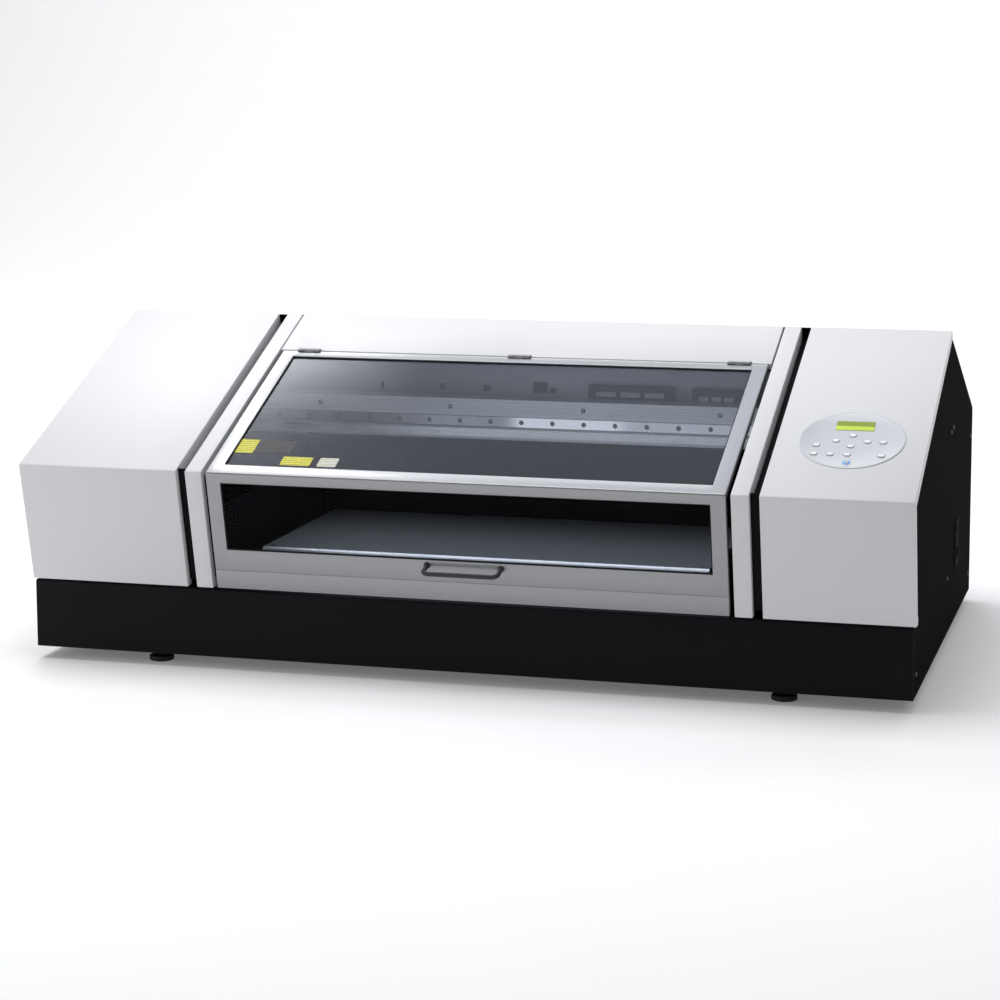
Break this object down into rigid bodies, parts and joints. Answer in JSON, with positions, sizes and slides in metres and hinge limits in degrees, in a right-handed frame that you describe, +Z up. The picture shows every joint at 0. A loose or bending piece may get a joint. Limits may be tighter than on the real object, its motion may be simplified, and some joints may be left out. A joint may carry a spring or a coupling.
{
  "type": "flatbed uv printer",
  "caption": "Large-format flatbed UV inkjet printer with a gabled body, a hinged windowed front cover, a print carriage on a beam and a bed that travels and lifts.",
  "frame": {"origin": "on the floor under the middle of the machine's box", "axes": "+X to the operator's right, -Y to the front where the operator stands, +Z up"},
  "size_m": [1.56, 0.955, 0.576],
  "materials": {
    "white_paint": "white semi-gloss powder coat",
    "black_paint": "black satin powder coat",
    "silver_paint": "silver metallic satin paint",
    "tinted_acrylic": "clear polished tinted acrylic",
    "dark_steel": "blackened satin",
    "bright_steel": "ground and hardened",
    "aluminium": "milled and clear anodised",
    "grey_plastic": "fine moulded texture",
    "black_plastic": "fine moulded texture",
    "white_plastic": "smooth moulded",
    "display_glass": "polished, yellow-green backlight",
    "belt_rubber": "moulded toothed belt"
  },
  "bodies": {
    "chassis": {"base_tray": "black_paint", "base_apron": "black_paint", "side_panel_left": "black_paint", "side_panel_right": "black_paint", "rear_panel": "black_paint", "rear_cover": "black_paint", "left_cover": "white_paint", "right_cover": "white_paint", "left_pillar": "white_paint", "right_pillar": "white_paint", "hood": "white_paint", "hinge_bracket_left": "dark_steel", "hinge_bracket_middle": "dark_steel", "hinge_bracket_right": "dark_steel", "beam_post_left": "aluminium", "beam_post_right": "aluminium", "guide_beam": "aluminium", "guide_rail": "bright_steel", "drive_belt": "belt_rubber", "carriage_motor": "black_plastic", "cap_station": "black_plastic", "ink_supply": "black_plastic", "control_panel": "grey_plastic", "display": "display_glass", "foot_front_left": "black_plastic", "foot_front_right": "black_plastic", "foot_rear_left": "black_plastic", "foot_rear_right": "black_plastic", "power_inlet": "black_plastic", "table_rail_left": "bright_steel", "table_rail_right": "bright_steel"},
    "front_cover": {"front_cover": "silver_paint", "slope_window": "tinted_acrylic", "front_window": "tinted_acrylic", "cover_handle": "dark_steel", "hinge_leaf_left": "dark_steel", "hinge_leaf_middle": "dark_steel", "hinge_leaf_right": "dark_steel"},
    "carriage": {"carriage": "grey_plastic", "print_head": "dark_steel", "uv_lamp_left": "black_plastic", "uv_lamp_right": "black_plastic"},
    "drive_pulley": {"drive_pulley": "aluminium"},
    "idler_pulley": {"idler_pulley": "aluminium"},
    "table_saddle": {"table_saddle": "aluminium"},
    "table_top": {"table_top": "aluminium"},
    "lift_screw_left": {"lift_screw_left": "bright_steel"},
    "lift_screw_right": {"lift_screw_right": "bright_steel"},
    "power_switch": {"power_switch": "black_plastic"},
    "key_up": {"key_up": "white_plastic"},
    "key_left": {"key_left": "white_plastic"},
    "key_right": {"key_right": "white_plastic"},
    "key_down": {"key_down": "white_plastic"},
    "key_menu": {"key_menu": "white_plastic"},
    "key_enter": {"key_enter": "white_plastic"},
    "key_function": {"key_function": "white_plastic"},
    "key_clean": {"key_clean": "white_plastic"},
    "key_test": {"key_test": "white_plastic"},
    "key_pause": {"key_pause": "white_plastic"},
    "key_power": {"key_power": "grey_plastic"}
  },
  "joints": [
    {"name": "front_cover_open", "type": "hinge", "parent": "chassis", "child": "front_cover", "pos_m": [0.022, -0.08665, 0.52393], "axis": [-1, 0, 0], "range_deg": [0, 75]},
    {"name": "carriage_travel", "type": "slide", "parent": "chassis", "child": "carriage", "axis": [-1, 0, 0], "range_m": [0, 1.26]},
    {"name": "drive_pulley_spin", "type": "hinge", "parent": "chassis", "child": "drive_pulley", "pos_m": [0.738, 0.0843, 0.37875], "axis": [0, 1, 0], "range_deg": [-10, 8420]},
    {"name": "idler_pulley_spin", "type": "hinge", "parent": "chassis", "child": "idler_pulley", "pos_m": [-0.738, 0.0843, 0.37875], "axis": [0, 1, 0], "range_deg": [-10, 8420]},
    {"name": "table_travel", "type": "slide", "parent": "chassis", "child": "table_saddle", "axis": [0, 1, 0], "range_m": [0, 0.4]},
    {"name": "table_lift", "type": "slide", "parent": "table_saddle", "child": "table_top", "axis": [0, 0, 1], "range_m": [0, 0.1]},
    {"name": "lift_screw_left_turn", "type": "hinge", "parent": "table_saddle", "child": "lift_screw_left", "pos_m": [-0.278, -0.1507, 0.0603], "axis": [0, 0, 1], "range_deg": [-10, 7210]},
    {"name": "lift_screw_right_turn", "type": "hinge", "parent": "table_saddle", "child": "lift_screw_right", "pos_m": [0.322, -0.1507, 0.0603], "axis": [0, 0, 1], "range_deg": [-10, 7210]},
    {"name": "power_switch_rock", "type": "hinge", "parent": "chassis", "child": "power_switch", "pos_m": [0.7755, 0.2093, 0.185], "axis": [0, 1, 0], "range_deg": [0, 14]},
    {"name": "key_up_press", "type": "slide", "parent": "chassis", "child": "key_up", "axis": [0, 0.3902, -0.9207], "range_m": [0, 0.001], "stiffness_N_per_m": 500, "springref_m": -0.0005},
    {"name": "key_left_press", "type": "slide", "parent": "chassis", "child": "key_left", "axis": [0, 0.3902, -0.9207], "range_m": [0, 0.001], "stiffness_N_per_m": 500, "springref_m": -0.0005},
    {"name": "key_right_press", "type": "slide", "parent": "chassis", "child": "key_right", "axis": [0, 0.3902, -0.9207], "range_m": [0, 0.001], "stiffness_N_per_m": 500, "springref_m": -0.0005},
    {"name": "key_down_press", "type": "slide", "parent": "chassis", "child": "key_down", "axis": [0, 0.3902, -0.9207], "range_m": [0, 0.001], "stiffness_N_per_m": 500, "springref_m": -0.0005},
    {"name": "key_menu_press", "type": "slide", "parent": "chassis", "child": "key_menu", "axis": [0, 0.3902, -0.9207], "range_m": [0, 0.001], "stiffness_N_per_m": 500, "springref_m": -0.0005},
    {"name": "key_enter_press", "type": "slide", "parent": "chassis", "child": "key_enter", "axis": [0, 0.3902, -0.9207], "range_m": [0, 0.001], "stiffness_N_per_m": 500, "springref_m": -0.0005},
    {"name": "key_function_press", "type": "slide", "parent": "chassis", "child": "key_function", "axis": [0, 0.3902, -0.9207], "range_m": [0, 0.001], "stiffness_N_per_m": 500, "springref_m": -0.0005},
    {"name": "key_clean_press", "type": "slide", "parent": "chassis", "child": "key_clean", "axis": [0, 0.3902, -0.9207], "range_m": [0, 0.001], "stiffness_N_per_m": 500, "springref_m": -0.0005},
    {"name": "key_test_press", "type": "slide", "parent": "chassis", "child": "key_test", "axis": [0, 0.3902, -0.9207], "range_m": [0, 0.001], "stiffness_N_per_m": 500, "springref_m": -0.0005},
    {"name": "key_pause_press", "type": "slide", "parent": "chassis", "child": "key_pause", "axis": [0, 0.3902, -0.9207], "range_m": [0, 0.001], "stiffness_N_per_m": 500, "springref_m": -0.0005},
    {"name": "key_power_press", "type": "slide", "parent": "chassis", "child": "key_power", "axis": [0, 0.3902, -0.9207], "range_m": [0, 0.001], "stiffness_N_per_m": 500, "springref_m": -0.0005}
  ],
  "couplings": [
    {"joint": "drive_pulley_spin", "follows": "carriage_travel", "rad_per_m": 116.28},
    {"joint": "idler_pulley_spin", "follows": "carriage_travel", "rad_per_m": 116.28},
    {"joint": "lift_screw_left_turn", "follows": "table_lift", "rad_per_m": 1256.6},
    {"joint": "lift_screw_right_turn", "follows": "table_lift", "rad_per_m": 1256.6}
  ]
}
